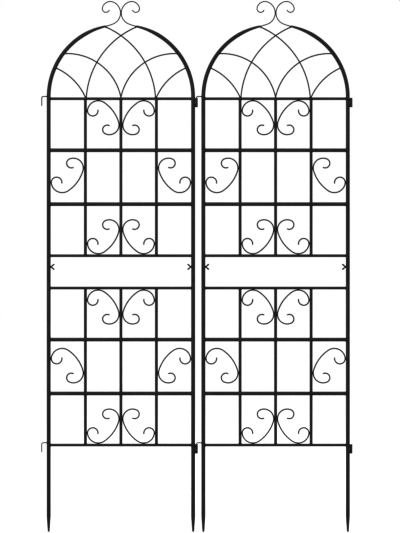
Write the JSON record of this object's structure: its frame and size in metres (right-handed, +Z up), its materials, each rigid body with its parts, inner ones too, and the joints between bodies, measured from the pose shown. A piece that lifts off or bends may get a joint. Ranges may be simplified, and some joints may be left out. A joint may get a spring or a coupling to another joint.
{
  "type": "garden trellis arch",
  "caption": "Pair of round-arched metal trellis panels with scrollwork and spiked legs, hooked side by side to carry climbing plants.",
  "frame": {"origin": "on the hook-and-sleeve axis between the two panels, level with the tips of the spikes, in the plane of the panels", "axes": "+X along the panels from the left one to the right one, +Y towards the back, +Z up along the posts"},
  "size_m": [1.0532, 0.013, 1.7962],
  "materials": {
    "tube_powder_coat": "satin black powder coat on steel tube",
    "wire_powder_coat": "satin black powder coat on round steel wire",
    "screw_black_zinc": "black plated steel"
  },
  "bodies": {
    "left_panel": {"left_panel_arch_post_left": "tube_powder_coat", "left_panel_leg_left": "tube_powder_coat", "left_panel_arch_post_right": "tube_powder_coat", "left_panel_leg_right": "tube_powder_coat", "left_panel_spring_rail": "tube_powder_coat", "left_panel_upper_rail": "tube_powder_coat", "left_panel_lower_rail": "tube_powder_coat", "left_panel_bottom_rail": "tube_powder_coat", "left_panel_upper_bar_high": "tube_powder_coat", "left_panel_upper_bar_low": "tube_powder_coat", "left_panel_lower_bar_high": "tube_powder_coat", "left_panel_lower_bar_low": "tube_powder_coat", "left_panel_upper_upright_left": "tube_powder_coat", "left_panel_lower_upright_left": "tube_powder_coat", "left_panel_upper_upright_right": "tube_powder_coat", "left_panel_lower_upright_right": "tube_powder_coat", "left_panel_upper_centre_scrollwork": "wire_powder_coat", "left_panel_lower_centre_scrollwork": "wire_powder_coat", "left_panel_upper_outer_scroll_left": "wire_powder_coat", "left_panel_lower_outer_scroll_left": "wire_powder_coat", "left_panel_upper_outer_scroll_right": "wire_powder_coat", "left_panel_lower_outer_scroll_right": "wire_powder_coat", "left_panel_arch_fan": "wire_powder_coat", "left_panel_finial": "wire_powder_coat", "left_panel_top_hook": "wire_powder_coat", "left_panel_bottom_hook": "wire_powder_coat", "left_panel_top_sleeve": "tube_powder_coat", "left_panel_bottom_sleeve": "tube_powder_coat"},
    "left_panel_left_screw": {"left_panel_wing_screw_left": "screw_black_zinc"},
    "left_panel_right_screw": {"left_panel_wing_screw_right": "screw_black_zinc"},
    "right_panel": {"right_panel_arch_post_left": "tube_powder_coat", "right_panel_leg_left": "tube_powder_coat", "right_panel_arch_post_right": "tube_powder_coat", "right_panel_leg_right": "tube_powder_coat", "right_panel_spring_rail": "tube_powder_coat", "right_panel_upper_rail": "tube_powder_coat", "right_panel_lower_rail": "tube_powder_coat", "right_panel_bottom_rail": "tube_powder_coat", "right_panel_upper_bar_high": "tube_powder_coat", "right_panel_upper_bar_low": "tube_powder_coat", "right_panel_lower_bar_high": "tube_powder_coat", "right_panel_lower_bar_low": "tube_powder_coat", "right_panel_upper_upright_left": "tube_powder_coat", "right_panel_lower_upright_left": "tube_powder_coat", "right_panel_upper_upright_right": "tube_powder_coat", "right_panel_lower_upright_right": "tube_powder_coat", "right_panel_upper_centre_scrollwork": "wire_powder_coat", "right_panel_lower_centre_scrollwork": "wire_powder_coat", "right_panel_upper_outer_scroll_left": "wire_powder_coat", "right_panel_lower_outer_scroll_left": "wire_powder_coat", "right_panel_upper_outer_scroll_right": "wire_powder_coat", "right_panel_lower_outer_scroll_right": "wire_powder_coat", "right_panel_arch_fan": "wire_powder_coat", "right_panel_finial": "wire_powder_coat", "right_panel_top_hook": "wire_powder_coat", "right_panel_bottom_hook": "wire_powder_coat", "right_panel_top_sleeve": "tube_powder_coat", "right_panel_bottom_sleeve": "tube_powder_coat"},
    "right_panel_left_screw": {"right_panel_wing_screw_left": "screw_black_zinc"},
    "right_panel_right_screw": {"right_panel_wing_screw_right": "screw_black_zinc"}
  },
  "joints": [
    {"name": "panel_hinge", "type": "hinge", "parent": "left_panel", "child": "right_panel", "pos_m": [0, 0, 1.4655], "axis": [0, 0, 1], "range_deg": [-130, 130]},
    {"name": "left_panel_left_screw_spin", "type": "hinge", "parent": "left_panel", "child": "left_panel_left_screw", "pos_m": [-0.4937, 0, 0.8964], "axis": [1, 0, 0], "continuous": true},
    {"name": "left_panel_right_screw_spin", "type": "hinge", "parent": "left_panel", "child": "left_panel_right_screw", "pos_m": [-0.0177, 0, 0.8964], "axis": [1, 0, 0], "continuous": true},
    {"name": "right_panel_left_screw_spin", "type": "hinge", "parent": "right_panel", "child": "right_panel_left_screw", "pos_m": [0.0299, 0, 0.8964], "axis": [1, 0, 0], "continuous": true},
    {"name": "right_panel_right_screw_spin", "type": "hinge", "parent": "right_panel", "child": "right_panel_right_screw", "pos_m": [0.5059, 0, 0.8964], "axis": [1, 0, 0], "continuous": true}
  ]
}
